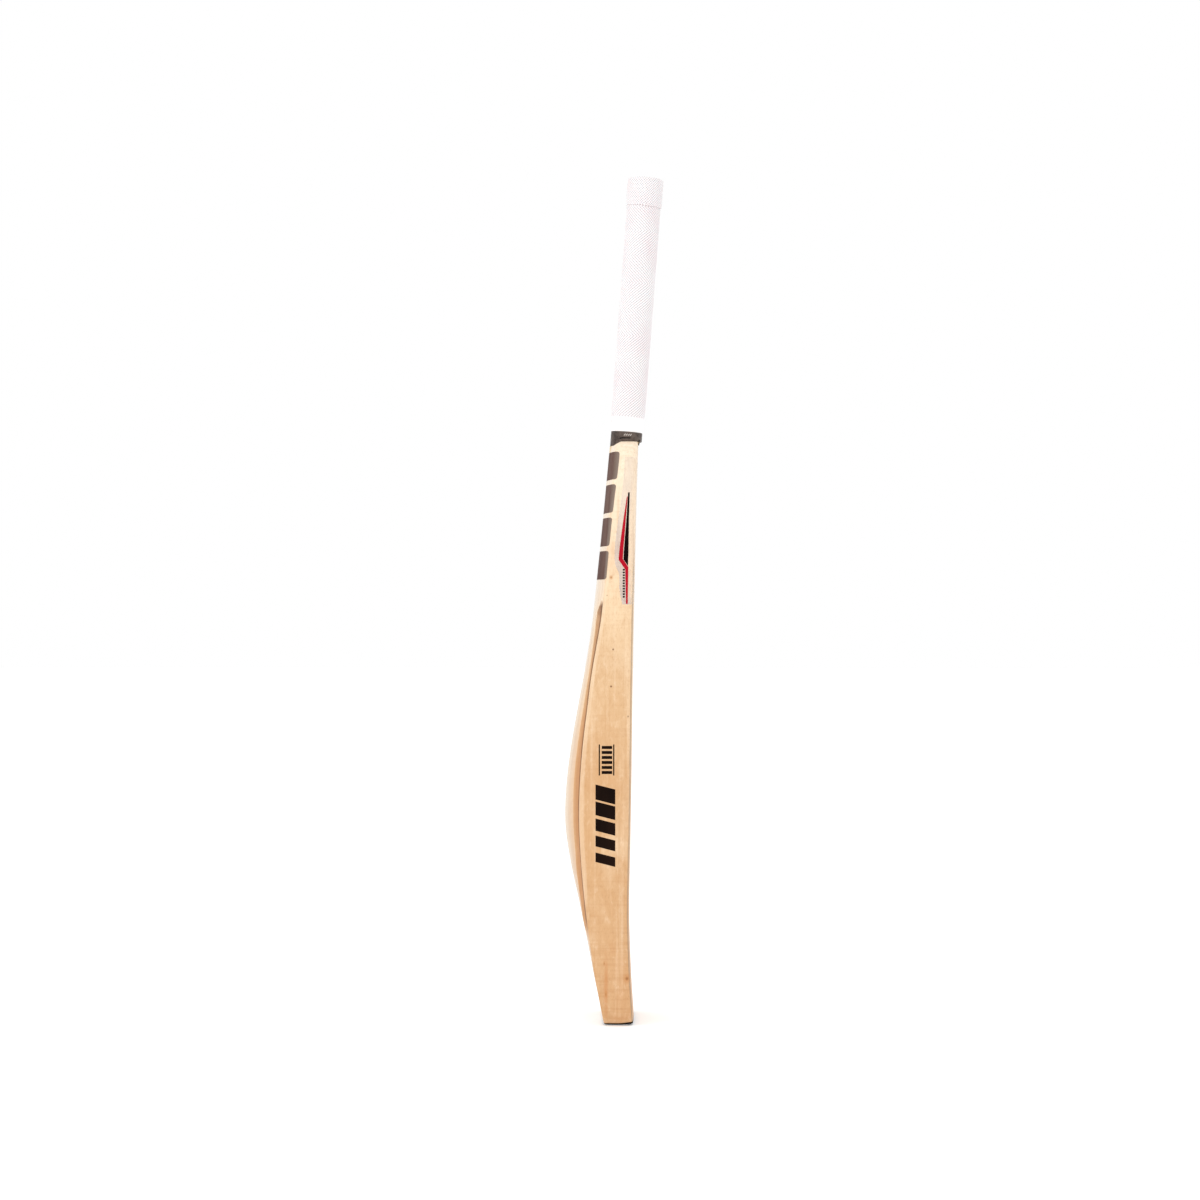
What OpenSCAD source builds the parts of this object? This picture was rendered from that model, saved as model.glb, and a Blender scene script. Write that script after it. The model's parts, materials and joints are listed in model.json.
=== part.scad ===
// Cricket bat: willow blade, spliced cane handle, binding, rubber grip, toe guard and printed trim.
// +Z runs up the blade, the hitting face looks towards -Y, the ridged back towards +Y, X is the width.
// The origin is the middle of the flat that the toe rests on.

/* [Blade] */
// Full width of the blade across its edges
blade_width = 108; // [100:1:112]
// Height of the shoulder line where blade and handle meet
shoulder_z = 587; // [581:1:592]
// Radius of the toe's corners, seen from the front
toe_corner_r = 15; // [8:1:22]
// Rounding of the edges beside the hitting face
face_corner_r = 3; // [2:0.5:5]
// Rounding of the edges beside the scooped back
back_corner_r = 2.5; // [1.5:0.5:4]
// How far the middle of the face stands proud of its sides
face_crown = 1; // [0.4:0.2:2]
// Depth of the scoops below the straight line from ridge to edge
scoop_depth = 5; // [2:0.5:7]
// Half width of the ridge between the scoops
ridge_half_w = 16; // [13:1:20]

/* [Handle] */
// Overall length of the bat
bat_length = 857; // [840:1:870]
// Lean of the handle towards the face, in degrees
handle_lean = 4.3; // [3.5:0.1:5]
// Radius of the bare cane
cane_r = 14.5; // [14:0.5:15]
// Thickness of each rubber spring sheet
spring_t = 1.5; // [1:0.5:2]
// Width of the middle row of cane strips
strip_w = 9.6; // [8:0.2:11]
// Lowest point of the splice
splice_tip_z = 440; // [425:5:455]

/* [Binding and grip] */
// Thickness of the twine under the grip
twine_t = 0.7; // [0.6:0.1:0.8]
// Radius of the exposed binding
binding_r = 16.1; // [16:0.1:16.4]
// Height of the exposed binding
binding_h = 10.2; // [9:0.2:12]
// Drop of the binding's tongue where it runs down onto the back
tongue_drop = 4.5; // [3:0.5:6]
// Radius of the grip
grip_r = 17.4; // [17:0.1:17.8]
// Radius of the grip's top cuff
cuff_r = 18.4; // [18:0.1:19]
// Height of the top cuff
cuff_h = 28; // [24:1:32]

/* [Trim] */
// Thickness of the toe guard
guard_t = 2.2; // [1:0.2:3]
// Thickness of the printed trim
print_t = 0.3; // [0.3:0.1:0.4]

/* [Hidden] */
SLIPS = 4;
ROWS = 3;
BLOCKS = 4;
SIDES = ["left", "right"];
CANE = [for (s = [1 : SLIPS], r = [1 : ROWS]) str("cane_strip_", s, r)];
SPRINGS = [for (i = [1 : SLIPS - 1]) str("rubber_spring_", i)];
BACK_BLOCKS = [for (i = [1 : BLOCKS]) str("back_block_", i)];
TRIM = ["flash_dart", "flash_stripe", "edge_bars", "edge_lines"];
TRIM_NODES = [for (part = TRIM, side = SIDES) str(part, "_", side)];

half_w = blade_width / 2;
// Half width of the blade at the shoulder line, and the height where the shoulders start to round.
neck_half_w = 18.5;
shoulder_start = 516;
// Depth where the toe starts to lift, and how far it has lifted 60 mm in front of the origin.
lift_y = -3;
toe_lift = 9;
// Depth at which the binding's tongue starts and ends its step.
tongue_y = 4;
lots = 400;

// Side-view outlines, as [height, distance from the Z axis].
SPINE = [[-10, 13.4], [0, 14.6], [20, 18.3], [50, 24.8], [85, 31.8], [120, 39.2], [160, 47.9],
         [200, 53.4], [240, 52.1], [280, 47.1], [320, 40.1], [360, 32.7], [400, 26.4], [440, 21.9],
         [500, 15.7], [560, 10], [620, 4.6]];
EDGE_BACK = [[-10, 12.4], [0, 13.6], [20, 17.2], [50, 23], [85, 28.2], [120, 32.4], [160, 36.2],
             [205, 38.5], [240, 37.8], [280, 34.8], [320, 30], [350, 26.2], [385, 20.2], [405, 16.8],
             [425, 14.5], [460, 11.8], [500, 9.4], [560, 4.7], [620, 0]];
FACE = [[-10, -16.8], [10, -16], [50, -13.6], [110, -11.8], [180, -13], [250, -14.2], [330, -15.2],
        [400, -16.3], [450, -17.4], [500, -18.5], [550, -19.8], [620, -22.2]];
// How far the ridge's foot lies below its crest, and how deep the scoops are as a share of scoop_depth.
RIDGE_DROP = [[-10, 0.8], [50, 1.6], [84, 3], [100, 1.2], [120, 2.1], [150, 4.6], [175, 7.3], [205, 8.6],
              [240, 7.6], [280, 6.6], [320, 5.6], [360, 4.7], [390, 4.1], [414, 4.1], [428, 7.6],
              [440, 8.4], [500, 6.4], [560, 5.1], [620, 4]];
SCOOP = [[-10, 0], [84, 0], [120, 0.5], [160, 0.9], [210, 1], [320, 1], [385, 0.95], [412, 0.75],
         [426, 0], [620, 0]];
// The ridge widens until it spans the blade, over a long run towards the toe and a short one at the top.
WIDE_RIDGE = 49;
WIDENS_LOW = [150, 84];
WIDENS_HIGH = [396, 426];

// Slope of an outline at its point i, then a smooth cubic between two points.
function slope(p, i) =
    let (a = max(0, i - 1), b = min(len(p) - 1, i + 1))
    (p[b][1] - p[a][1]) / (p[b][0] - p[a][0]);
function span_at(p, z, i = 0) = (i >= len(p) - 2 || z < p[i + 1][0]) ? i : span_at(p, z, i + 1);
function smooth_at(p, z) =
    let (
        i = span_at(p, z),
        d = p[i + 1][0] - p[i][0],
        u = (z - p[i][0]) / d,
        a = p[i][1],
        b = p[i + 1][1]
    )
    a + (b - a) * u * u * (3 - 2 * u)
      + d * u * (1 - u) * (slope(p, i) * (1 - u) - slope(p, i + 1) * u);

// Share of the way from one height to another, kept within 0 and 1.
function share(z, span) = min(1, max(0, (z - span[0]) / (span[1] - span[0])));

// Half width at a height: rounded toe corners, parallel edges, rounded shoulders.
function toe_cut(z, r) = z >= r ? 0 : r - sqrt(r * r - pow(r - max(z, 0), 2));
function shoulder_cut(z) =
    let (u = share(z, [shoulder_start, shoulder_z]))
    (half_w - neck_half_w) * (1 - sqrt(1 - pow(u, 2.6)));
function half_width(z) = half_w - toe_cut(z, toe_corner_r) - shoulder_cut(z);

function ridge_width(z) =
    let (widened = max(pow(share(z, WIDENS_LOW), 2.4), pow(share(z, WIDENS_HIGH), 2.2)))
    ridge_half_w + (WIDE_RIDGE - ridge_half_w) * widened;

// Height-dependent corner radii: crisp along the blade, fuller at the shoulders.
function ease(z, z0, z1) = let (u = share(z, [z0, z1])) u * u * (3 - 2 * u);
function rounding(z, r_low, r_high) = r_low + (r_high - r_low) * ease(z, 420, 575);

function arc(cx, cy, r, a0, a1, n) =
    [for (i = [0 : n]) let (a = a0 + (a1 - a0) * i / n) [cx + r * cos(a), cy + r * sin(a)]];

// Right half of the blade's outline at one height, from the face's middle round to the crest.
TOE_ROUND = 2.5;
function half_section(z, t) =
    let (
        inset = toe_cut(z, TOE_ROUND) - t,
        w = half_width(z) + t,
        face = smooth_at(FACE, z) + inset,
        crest = smooth_at(SPINE, z) - inset,
        rf = rounding(z, face_corner_r, 7) + t,
        rb = rounding(z, back_corner_r, 8) + t,
        fit = w / (half_w + t),
        edge = smooth_at(EDGE_BACK, z) - inset,
        ridge = min(ridge_width(z) * fit, w - rb - 1.5),
        foot = max(crest - smooth_at(RIDGE_DROP, z), edge + 0.05),
        bulge = 0.5,
        run = w - rb - ridge,
        dip = scoop_depth * smooth_at(SCOOP, z),
        lean = run < 3 ? -1.9 * (crest - foot) / ridge : 4 * dip / run
    )
    concat(
        [for (i = [0 : 4]) let (x = (w - rf) * i / 5) [x, face + face_crown * pow(x / w, 2)]],
        arc(w - bulge - rf, face + face_crown + rf, rf, -90, 0, 3),
        [[w, (face + edge) / 2]],
        arc(w - bulge - rb, edge - rb, rb, 0, 90 + atan(lean), 3),
        [for (i = [1 : 6])
            let (q = 1 - i / 7)
            [ridge + run * q, foot + (edge - foot) * (1 - pow(1 - q, 3)) - 4 * dip * q * (1 - q)]],
        [for (i = [0 : 4])
            let (q = 1 - i / 5)
            [ridge * q, crest - (crest - foot) * pow(q, 1.9)]],
        [[0, crest]]
    );
function mirrored(half) = [for (i = [len(half) - 2 : -1 : 1]) [-half[i][0], half[i][1]]];
function section(z, t) = let (half = half_section(z, t)) concat(half, mirrored(half));

// Heights of the loft's rings, closer together where the outline turns quickly.
RING_Z = concat(
    [-1, 0, 0.5, 1.3, 2.5, 4.5, 7.5, 11, 15],
    [for (z = [24 : 12 : 84]) z],
    [for (z = [96 : 16 : 368]) z],
    [for (z = [380 : 8 : 436]) z],
    [for (z = [448 : 14 : 518]) z],
    [for (i = [1 : 9])
        let (u = i / 9)
        shoulder_start + (shoulder_z - shoulder_start) * (1 - pow(1 - u, 1.7))],
    [600]
);

module loft(z_low, z_high, t = 0) {
    rings = [for (z = RING_Z) if (z >= z_low && z <= z_high) z];
    outline = [for (z = rings) section(z, t)];
    n = len(outline[0]);
    m = len(rings);
    points = [for (k = [0 : m - 1], p = outline[k]) [p[0], p[1], rings[k]]];
    walls = [for (k = [0 : m - 2], j = [0 : n - 1])
        let (a = k * n + j, b = k * n + (j + 1) % n)
        each [[a, a + n, b + n], [a, b + n, b]]];
    floor_face = [for (j = [0 : n - 1]) j];
    roof_face = [for (j = [n - 1 : -1 : 0]) (m - 1) * n + j];
    polyhedron(points, concat(walls, [floor_face, roof_face]));
}

// A flat outline of [y, z] points, drawn through the bat from x0 to x1.
module across(x0, x1, outline) {
    translate([x0, 0, 0]) rotate([90, 0, 90]) linear_extrude(x1 - x0) polygon(outline);
}

// Everything below the toe's end, raised by t: a flat rest and a small lift towards the face.
module below_toe(t) {
    across(-lots, lots, [[-60, -20], [60, -20], [60, t], [lift_y, t], [-60, t + toe_lift]]);
}

// Everything above the line where binding meets shoulders, which steps down at the back.
module above_shoulder() {
    across(-lots, lots, [
        [-60, shoulder_z], [-tongue_y, shoulder_z], [tongue_y, shoulder_z - tongue_drop],
        [60, shoulder_z - tongue_drop], [60, 990], [-60, 990]
    ]);
}

// The handle's own frame: its Z runs up the leaning handle from the shoulder line.
handle_y = -8.5;
handle_len = (bat_length - shoulder_z) / cos(handle_lean) - cuff_r * tan(handle_lean);
module on_handle() {
    translate([0, handle_y, shoulder_z]) rotate([handle_lean, 0, 0]) children();
}

module splice_wedge() {
    translate([0, 90, 0]) rotate([90, 0, 0]) linear_extrude(180)
        polygon([[-1.5, splice_tip_z], [1.5, splice_tip_z], [neck_half_w, 620], [-neck_half_w, 620]]);
}

SPLICE_LOW = 432;
// The cane ends this far below the grip's top edge.
lid = 3;
module cane_blank() {
    difference() {
        intersection() {
            loft(SPLICE_LOW, 600);
            splice_wedge();
        }
        above_shoulder();
    }
    intersection() {
        on_handle() translate([0, 0, -20]) cylinder(h = handle_len + 20 - lid, r = cane_r, $fn = 64);
        above_shoulder();
    }
}

// Slips are stacked from face to back; the outer ones run out to the surface of the blade.
slip_t = (2 * cane_r - (SLIPS - 1) * spring_t) / SLIPS;
function slip_low(s) = s == 1 ? -60 : -cane_r + (s - 1) * (slip_t + spring_t);
function slip_high(s) = s == SLIPS ? 60 : -cane_r + (s - 1) * (slip_t + spring_t) + slip_t;
function row_edge(r) = r == 0 ? -60 : r == ROWS ? 60 : strip_w * (r - ROWS / 2);

module cane_cell(x0, x1, y0, y1) {
    intersection() {
        cane_blank();
        on_handle() translate([x0, y0, -200]) cube([x1 - x0, y1 - y0, 600]);
    }
}

module cane_strip(s, r) {
    color(r == 2 ? "burlywood" : "tan") cane_cell(row_edge(r - 1), row_edge(r), slip_low(s), slip_high(s));
}

module rubber_spring(i) {
    color("dimgray") cane_cell(-60, 60, slip_high(i), slip_low(i + 1));
}

module willow_blade() {
    color("burlywood") difference() {
        loft(-1, 600);
        splice_wedge();
        below_toe(guard_t);
        above_shoulder();
    }
}

module toe_guard() {
    color("dimgray") difference() {
        intersection() {
            loft(-1, 24);
            below_toe(guard_t);
        }
        below_toe(0);
    }
}

// A sleeve of constant section about the handle's axis.
module twine_binding() {
    color([0.1, 0.08, 0.07]) intersection() {
        on_handle() rotate_extrude($fn = 64) polygon([
            [cane_r, -20], [binding_r, -20], [binding_r, binding_h - 0.6], [binding_r - 0.6, binding_h],
            [cane_r + twine_t, binding_h], [cane_r + twine_t, handle_len - 4], [cane_r, handle_len - 4]
        ]);
        above_shoulder();
    }
}

module rubber_grip() {
    inner = cane_r + twine_t;
    band_r = 16.1;
    band_h = 11;
    flare_h = 8;
    cuff_z = handle_len - cuff_h;
    lip_r = 8;
    edge_r = 3;
    color("white") on_handle() rotate_extrude($fn = 64) polygon(concat(
        [[inner, binding_h], [band_r, binding_h], [band_r, binding_h + band_h],
         [grip_r, binding_h + band_h + flare_h], [grip_r, cuff_z - 1.5], [cuff_r, cuff_z]],
        arc(cuff_r - edge_r, handle_len - edge_r, edge_r, 0, 90, 6),
        [[lip_r, handle_len], [lip_r, handle_len - lid], [inner, handle_len - lid]]
    ));
}

// Printed trim: the part of a thin skin over the blade that lies inside an outline.
module skin(z_low, z_high) {
    difference() {
        intersection() {
            loft(z_low, z_high, print_t);
            children();
        }
        loft(z_low, z_high);
    }
}

// Four equal bands up the back. Their front edges lie further round the sides higher up.
BAND_LOW = 447;
BAND_H = 28.5;
BAND_PITCH = 33.4;
BAND_CORNER = 2.4;
BAND_FRONT = [[440, 12], [492, 7.1], [527, 3.2], [566, -1.5], [580, -2.2]];
function band_front(z) = smooth_at(BAND_FRONT, z);
module back_block(i) {
    z0 = BAND_LOW + (BLOCKS - i) * BAND_PITCH;
    z1 = z0 + BAND_H;
    color([0.45, 0.38, 0.34]) skin(430, 600) across(-lots, lots, concat(
        [[60, z0], [60, z1]],
        arc_about(band_front(z1) + BAND_CORNER, z1 - BAND_CORNER, 90, 180),
        arc_about(band_front(z0) + BAND_CORNER, z0 + BAND_CORNER, 180, 270)
    ));
}
function arc_about(y, z, a0, a1) = arc(y, z, BAND_CORNER, a0, a1, 4);

// Side flashes, as [depth, height]: a long black dart, a red border with a tail, and the clear film.
DART = [[-12.2, 534], [-10.6, 534], [-9.1, 509.5], [-6.2, 474], [-6, 467], [-10.4, 460.5],
        [-10.9, 474], [-11.4, 509.5]];
STRIPE = [[-9.4, 530], [-6.2, 509], [-3.8, 492], [-2, 478], [-1.2, 469], [-1.2, 466.5], [-7.7, 457],
          [-8.5, 422.5], [-10.1, 422.5], [-10.8, 459.2], [-5.3, 467.5], [-5.4, 471], [-5.9, 478],
          [-6.9, 490], [-8.3, 509], [-10.1, 530]];
FILM = [[-60, 422], [-4.8, 422], [-2, 436], [-1.5, 452], [2, 461], [3, 470], [2.2, 484], [0, 502],
        [-3, 522], [-6, 547], [-7.5, 570], [-60, 570]];

// The part of a profile that lies on one edge of the blade.
module one_side(side, outline) {
    if (side == "left") across(-lots, -20, outline);
    else across(20, lots, outline);
}

module flash_dart(side) {
    color([0.07, 0.03, 0.03]) skin(410, 550) one_side(side, DART);
}

module flash_stripe(side) {
    color([0.7, 0.15, 0.2]) skin(400, 550) one_side(side, STRIPE);
}

module shoulder_film() {
    color([0.87, 0.82, 0.78]) difference() {
        skin(400, 600) across(-lots, lots, FILM);
        for (side = SIDES) {
            one_side(side, DART);
            one_side(side, STRIPE);
        }
    }
}

// Edge marks: slanted bars that thin towards the toe, and two fine lines with small blocks between.
BARS = 5;
BAR_Y = [2.3, 22];
BAR_Z = 237;
BAR_PITCH = 17;
BAR_SLANT = 5;
BAR_T = 15;
BAR_THINNING = 1.4;
function slanted(y, z0, z1, rise) = [[y[0], z0], [y[0], z1], [y[1], z1 + rise], [y[1], z0 + rise]];
module edge_bars(side) {
    color([0.08, 0.04, 0.03]) skin(130, 260) for (i = [0 : BARS - 1]) {
        z = BAR_Z - i * BAR_PITCH;
        one_side(side, slanted(BAR_Y, z - BAR_T + BAR_THINNING * i, z, BAR_SLANT));
    }
}

LINE_Z = [251, 282];
LINE_T = 1.2;
LINE_Y = [3.2, 17.6];
MARKS = 6;
MARK_Y = [5.4, 15.8];
MARK_Z = 252.5;
MARK_T = 3;
MARK_PITCH = 5;
module edge_lines(side) {
    color([0.2, 0.1, 0.08]) skin(230, 300) {
        for (y = LINE_Y) one_side(side, slanted([y, y + LINE_T], LINE_Z[0], LINE_Z[1], 0));
        for (i = [0 : MARKS - 1]) {
            z = MARK_Z + i * MARK_PITCH;
            one_side(side, slanted(MARK_Y, z, z + MARK_T, 0));
        }
    }
}

willow_blade();
toe_guard();
twine_binding();
rubber_grip();
shoulder_film();
for (s = [1 : SLIPS], r = [1 : ROWS])
    cane_strip(s, r);
for (i = [1 : SLIPS - 1])
    rubber_spring(i);
for (i = [1 : BLOCKS])
    back_block(i);
for (side = SIDES) {
    flash_dart(side);
    flash_stripe(side);
    edge_bars(side);
    edge_lines(side);
}
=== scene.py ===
"""Cricket bat: the visual model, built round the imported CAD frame.

The bat's outlines and sizes are millimetres in its own frame (+Z up the blade, -Y out of the face). Meshes,
noise scales, camera, lights and floor are in metres.
"""
import json
import math

import bmesh
import bpy
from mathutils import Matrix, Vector

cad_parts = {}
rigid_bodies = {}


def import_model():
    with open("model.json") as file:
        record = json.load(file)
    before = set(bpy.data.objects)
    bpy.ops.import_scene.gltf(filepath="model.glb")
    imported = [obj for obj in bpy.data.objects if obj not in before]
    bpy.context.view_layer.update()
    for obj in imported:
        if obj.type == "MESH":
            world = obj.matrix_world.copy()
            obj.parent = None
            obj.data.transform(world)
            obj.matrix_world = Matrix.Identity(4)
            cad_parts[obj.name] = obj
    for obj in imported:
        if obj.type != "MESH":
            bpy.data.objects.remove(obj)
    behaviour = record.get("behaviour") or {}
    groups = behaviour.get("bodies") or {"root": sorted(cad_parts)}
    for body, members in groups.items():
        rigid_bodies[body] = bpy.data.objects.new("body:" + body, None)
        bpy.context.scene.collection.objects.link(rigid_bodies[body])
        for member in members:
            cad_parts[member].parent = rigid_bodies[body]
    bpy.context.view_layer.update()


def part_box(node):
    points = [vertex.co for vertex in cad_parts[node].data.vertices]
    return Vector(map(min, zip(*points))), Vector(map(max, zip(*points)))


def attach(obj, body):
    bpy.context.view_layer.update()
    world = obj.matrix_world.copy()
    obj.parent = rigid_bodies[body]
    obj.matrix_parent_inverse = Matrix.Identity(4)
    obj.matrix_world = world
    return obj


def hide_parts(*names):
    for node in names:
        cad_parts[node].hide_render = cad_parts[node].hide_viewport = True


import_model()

MM = 0.001
BODY = "root"


# ---- blade outlines, as in the CAD source
HALF_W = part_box("willow_blade")[1][0] / MM
SHOULDER_Z = 587.0
SHOULDER_START = 516.0
NECK_HALF_W = 18.5
TOE_CORNER_R = 15.0
TOE_ROUND = 2.5
# Corner radii: crisp along the blade, fuller at the shoulders.
FACE_CORNER_R, FACE_SHOULDER_R = 3.0, 7.0
BACK_CORNER_R, BACK_SHOULDER_R = 2.5, 8.0
CORNERS_GROW = (420.0, 575.0)
FACE_CROWN = 1.0
EDGE_BULGE = 0.5
SCOOP_DEPTH = 5.0
RIDGE_HALF_W = 16.0
# The ridge widens until it spans the blade, over a long run towards the toe and a short one at the top.
WIDE_RIDGE = 49.0
WIDENS_LOW = (150.0, 84.0)
WIDENS_HIGH = (396.0, 426.0)
GUARD_T = 2.2

# Side-view outlines, as (height, distance from the Z axis). RIDGE_DROP is how far the ridge's foot lies below
# its crest, and SCOOP how deep the scoops are, as a share of SCOOP_DEPTH.
SPINE = [(-10, 13.4), (0, 14.6), (20, 18.3), (50, 24.8), (85, 31.8), (120, 39.2), (160, 47.9), (200, 53.4),
         (240, 52.1), (280, 47.1), (320, 40.1), (360, 32.7), (400, 26.4), (440, 21.9), (500, 15.7),
         (560, 10), (620, 4.6)]
EDGE_BACK = [(-10, 12.4), (0, 13.6), (20, 17.2), (50, 23), (85, 28.2), (120, 32.4), (160, 36.2), (205, 38.5),
             (240, 37.8), (280, 34.8), (320, 30), (350, 26.2), (385, 20.2), (405, 16.8), (425, 14.5),
             (460, 11.8), (500, 9.4), (560, 4.7), (620, 0)]
FACE = [(-10, -16.8), (10, -16), (50, -13.6), (110, -11.8), (180, -13), (250, -14.2), (330, -15.2),
        (400, -16.3), (450, -17.4), (500, -18.5), (550, -19.8), (620, -22.2)]
RIDGE_DROP = [(-10, 0.8), (50, 1.6), (84, 3), (100, 1.2), (120, 2.1), (150, 4.6), (175, 7.3), (205, 8.6),
              (240, 7.6), (280, 6.6), (320, 5.6), (360, 4.7), (390, 4.1), (414, 4.1), (428, 7.6), (440, 8.4),
              (500, 6.4), (560, 5.1), (620, 4)]
SCOOP = [(-10, 0), (84, 0), (120, 0.5), (160, 0.9), (210, 1), (320, 1), (385, 0.95), (412, 0.75), (426, 0),
         (620, 0)]


def slope(p, i):
    a, b = max(0, i - 1), min(len(p) - 1, i + 1)
    return (p[b][1] - p[a][1]) / (p[b][0] - p[a][0])


def smooth_at(p, z):
    """A smooth cubic through an outline's points."""
    i = 0
    while i < len(p) - 2 and z >= p[i + 1][0]:
        i += 1
    d = p[i + 1][0] - p[i][0]
    u = (z - p[i][0]) / d
    a, b = p[i][1], p[i + 1][1]
    return a + (b - a) * u * u * (3 - 2 * u) + d * u * (1 - u) * (slope(p, i) * (1 - u) - slope(p, i + 1) * u)


def clamp(v):
    return min(1.0, max(0.0, v))


def part_way(z, z0, z1):
    return clamp((z - z0) / (z1 - z0))


def ease(z, z0, z1):
    u = part_way(z, z0, z1)
    return u * u * (3 - 2 * u)


def between(a, b, u):
    """The point a share u of the way from a to b."""
    return tuple(p + (q - p) * u for p, q in zip(a, b))


def toe_cut(z, r):
    return 0.0 if z >= r else r - math.sqrt(r * r - (r - max(z, 0.0)) ** 2)


def shoulder_cut(z):
    u = part_way(z, SHOULDER_START, SHOULDER_Z)
    return (HALF_W - NECK_HALF_W) * (1 - math.sqrt(1 - u ** 2.6))


def half_width(z):
    return HALF_W - toe_cut(z, TOE_CORNER_R) - shoulder_cut(z)


def ridge_width(z):
    widened = max(part_way(z, *WIDENS_LOW) ** 2.4, part_way(z, *WIDENS_HIGH) ** 2.2)
    return RIDGE_HALF_W + (WIDE_RIDGE - RIDGE_HALF_W) * widened


def rounding(z, low, high):
    return low + (high - low) * ease(z, *CORNERS_GROW)


def arc(cx, cy, r, a0, a1, n):
    turn = [math.radians(a0 + (a1 - a0) * i / n) for i in range(n + 1)]
    return [(cx + r * math.cos(a), cy + r * math.sin(a)) for a in turn]


# Shares from 0 to 1 that each point of the blade carries for its material: painted shade in the scoops,
# painted light on the ridge, painted highlight by the back corner, painted shade by the face corner, and a
# painted shade line low in the scoop.
MARKS = ("scooped", "pale", "worn", "soiled", "seam")
FACE_STEPS, FACE_CORNER_STEPS, SIDE_STEPS, BACK_CORNER_STEPS = 14, 6, 17, 8
SCOOP_STEPS, RIDGE_STEPS = 26, 16
# Reach of the painted highlight beside the back corner: thin near the handle, wide beside the thickest wood.
HIGHLIGHT_W = [(-10, 0.8), (90, 0.8), (150, 3.6), (260, 3.6), (330, 1.2), (620, 1.2)]
HIGHLIGHT_STARTS = (80.0, 150.0)
# Reach of the painted shade beside the face corner, which is fainter under the film.
CORNER_SHADE_W = 2.0
CORNER_SHADE_FADES = (430.0, 500.0)
# A painted shade line low in the scoop, where the back corner shades it: how far its middle lies above the
# back corner, and its reach either way.
SHADE_LINE_RISE, SHADE_LINE_W = 0.7, 1.5


def marked(**shares):
    return tuple(shares.get(name, 0.0) for name in MARKS)


def face_points(z, w, face, radius):
    """The face from its middle outwards, then its rounded corner."""
    flat_w = w - EDGE_BULGE - radius
    steps = [i / FACE_STEPS for i in range(FACE_STEPS)]
    points = [(flat_w * u, face + FACE_CROWN * u ** 2, marked()) for u in steps]
    # Painted shade round the face corner, fading out up the shoulders.
    soil = 1 - 0.8 * ease(z, *CORNER_SHADE_FADES)
    for x, y in arc(flat_w, face + FACE_CROWN + radius, radius, -90, 0, FACE_CORNER_STEPS):
        points.append((x, y, marked(soiled=soil * clamp(CORNER_SHADE_W - y + face + FACE_CROWN))))
    return points


def side_points(z, w, y0, y1):
    """The edge, a little bulged, between its two corners."""
    points = []
    for i in range(1, SIDE_STEPS):
        q = i / SIDE_STEPS
        y = y0 + (y1 - y0) * q
        # Painted highlight on the edge beside its back corner.
        worn = ease(z, *HIGHLIGHT_STARTS) * clamp(1 - (y1 - y) / smooth_at(HIGHLIGHT_W, z))
        points.append((w - EDGE_BULGE * (2 * q - 1) ** 2, y, marked(worn=worn)))
    return points


def scoop_points(corner, ridge, foot, depth):
    """From the back's corner through the scoop to the ridge's foot."""
    ex, ey = corner
    blunt = clamp(4 * depth)
    points = []
    for i in range(1, SCOOP_STEPS):
        q = (1 - i / SCOOP_STEPS) ** 1.6
        y = foot + (ey - foot) * (1 - (1 - q) ** 3) - 4 * SCOOP_DEPTH * depth * q * (1 - q)
        # Painted shade in the scoop: none at the ridge's foot, strongest on its steep wall, fainter across
        # its floor and gone at the back corner.
        scooped = clamp(q / 0.02) * clamp(0.6 + 2.8 * q) * clamp((1 - q) * 14)
        scooped *= 1 - 0.6 * ease(q, 0.3, 0.75)
        # Painted shade: a dark line low in the scoop, just above the back corner.
        seam = clamp(1.5 - 1.5 * abs(y - ey - SHADE_LINE_RISE) / SHADE_LINE_W) * ease(q, 0.8, 0.6)
        # Where the scoop runs out, the back takes part of the ridge's painted light.
        shares = marked(scooped=blunt * scooped, pale=0.4 * (1 - blunt), seam=blunt * seam)
        points.append((ridge + (ex - ridge) * q, y, shares))
    return points


def ridge_points(ridge, foot, crest):
    points = []
    for i in range(RIDGE_STEPS):
        q = 1 - i / RIDGE_STEPS
        y = crest - (crest - foot) * q ** 1.9
        # Painted light: the ridge is pale, most at its crest, where the light from behind falls.
        points.append((ridge * q, y, marked(pale=1 - 0.65 * q ** 1.5)))
    return points + [(0.0, crest, marked(pale=1.0))]


def half_section(z, t=0.0):
    """Right half of the blade's outline at height z, from the face's middle round to the crest.

    Each point is (x, y, marks), with one share for each name in MARKS. The outline stands t outside the wood.
    """
    inset = toe_cut(z, TOE_ROUND) - t
    w = half_width(z) + t
    face = smooth_at(FACE, z) + inset
    crest = smooth_at(SPINE, z) - inset
    edge = smooth_at(EDGE_BACK, z) - inset
    face_r = rounding(z, FACE_CORNER_R, FACE_SHOULDER_R) + t
    back_r = rounding(z, BACK_CORNER_R, BACK_SHOULDER_R) + t
    ridge = min(ridge_width(z) * w / (HALF_W + t), w - back_r - 1.5)
    foot = max(crest - smooth_at(RIDGE_DROP, z), edge + 0.05)
    run = w - back_r - ridge
    depth = clamp(smooth_at(SCOOP, z))
    lean = -1.9 * (crest - foot) / ridge if run < 3 else 4 * SCOOP_DEPTH * depth / run
    turn = 90 + math.degrees(math.atan(lean))
    corner = arc(w - EDGE_BULGE - back_r, edge - back_r, back_r, 0, turn, BACK_CORNER_STEPS)
    return (face_points(z, w, face, face_r)
            + side_points(z, w, face + FACE_CROWN + face_r, edge - back_r)
            # The back corner itself carries the full painted highlight.
            + [(x, y, marked(worn=ease(z, *HIGHLIGHT_STARTS))) for x, y in corner]
            + scoop_points(corner[-1], ridge, foot, depth)
            + ridge_points(ridge, foot, crest))


def section(z, t=0.0):
    half = half_section(z, t)
    return half + [(-x, y, marks) for x, y, marks in reversed(half[1:-1])]


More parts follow.
